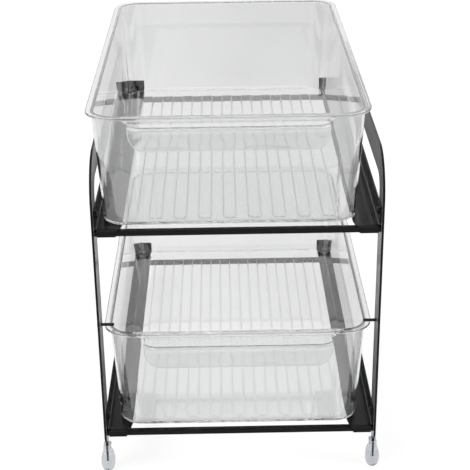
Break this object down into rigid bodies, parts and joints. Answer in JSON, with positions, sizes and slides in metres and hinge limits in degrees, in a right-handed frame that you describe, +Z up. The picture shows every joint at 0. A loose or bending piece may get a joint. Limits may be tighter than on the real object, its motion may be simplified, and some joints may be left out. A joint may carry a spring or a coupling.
{
  "type": "pull-out mug organizer",
  "caption": "Tiered storage stand: black steel strap frame with sheet rails that carry clear pull-out bins with hooded front handles, on soft foot caps.",
  "frame": {"origin": "middle of the whole object's box, on the floor under the foot caps", "axes": "+Z up, +Y from the handles to the rear, +X to the right of someone who faces the handles"},
  "size_m": [0.2616, 0.416, 0.3516],
  "materials": {
    "black_coat": "satin black powder coat on steel",
    "clear_plastic": "clear glossy moulded plastic",
    "clear_rubber": "soft translucent rubber",
    "black_fasteners": "black steel fasteners"
  },
  "bodies": {
    "frame": {"left_side_frame": "black_coat", "right_side_frame": "black_coat", "lower_left_rail": "black_coat", "lower_right_rail": "black_coat", "upper_left_rail": "black_coat", "upper_right_rail": "black_coat", "lower_front_bar": "black_coat", "lower_rear_bar": "black_coat", "upper_front_bar": "black_coat", "upper_rear_bar": "black_coat", "left_lip_pin": "black_fasteners", "right_lip_pin": "black_fasteners", "left_front_foot_cap": "clear_rubber", "left_rear_foot_cap": "clear_rubber", "right_front_foot_cap": "clear_rubber", "right_rear_foot_cap": "clear_rubber", "lower_left_front_screw": "black_fasteners", "lower_left_rear_screw": "black_fasteners", "lower_right_front_screw": "black_fasteners", "lower_right_rear_screw": "black_fasteners", "upper_left_front_screw": "black_fasteners", "upper_left_rear_screw": "black_fasteners", "upper_right_front_screw": "black_fasteners", "upper_right_rear_screw": "black_fasteners", "lower_left_front_nut": "black_fasteners", "lower_left_rear_nut": "black_fasteners", "lower_right_front_nut": "black_fasteners", "lower_right_rear_nut": "black_fasteners", "upper_left_front_nut": "black_fasteners", "upper_left_rear_nut": "black_fasteners", "upper_right_front_nut": "black_fasteners", "upper_right_rear_nut": "black_fasteners"},
    "lower_bin": {"lower_bin": "clear_plastic"},
    "upper_bin": {"upper_bin": "clear_plastic"}
  },
  "joints": [
    {"name": "lower_bin_slide", "type": "slide", "parent": "frame", "child": "lower_bin", "axis": [0, -1, 0], "range_m": [0, 0.26]},
    {"name": "upper_bin_slide", "type": "slide", "parent": "frame", "child": "upper_bin", "axis": [0, -1, 0], "range_m": [0, 0.26]}
  ]
}
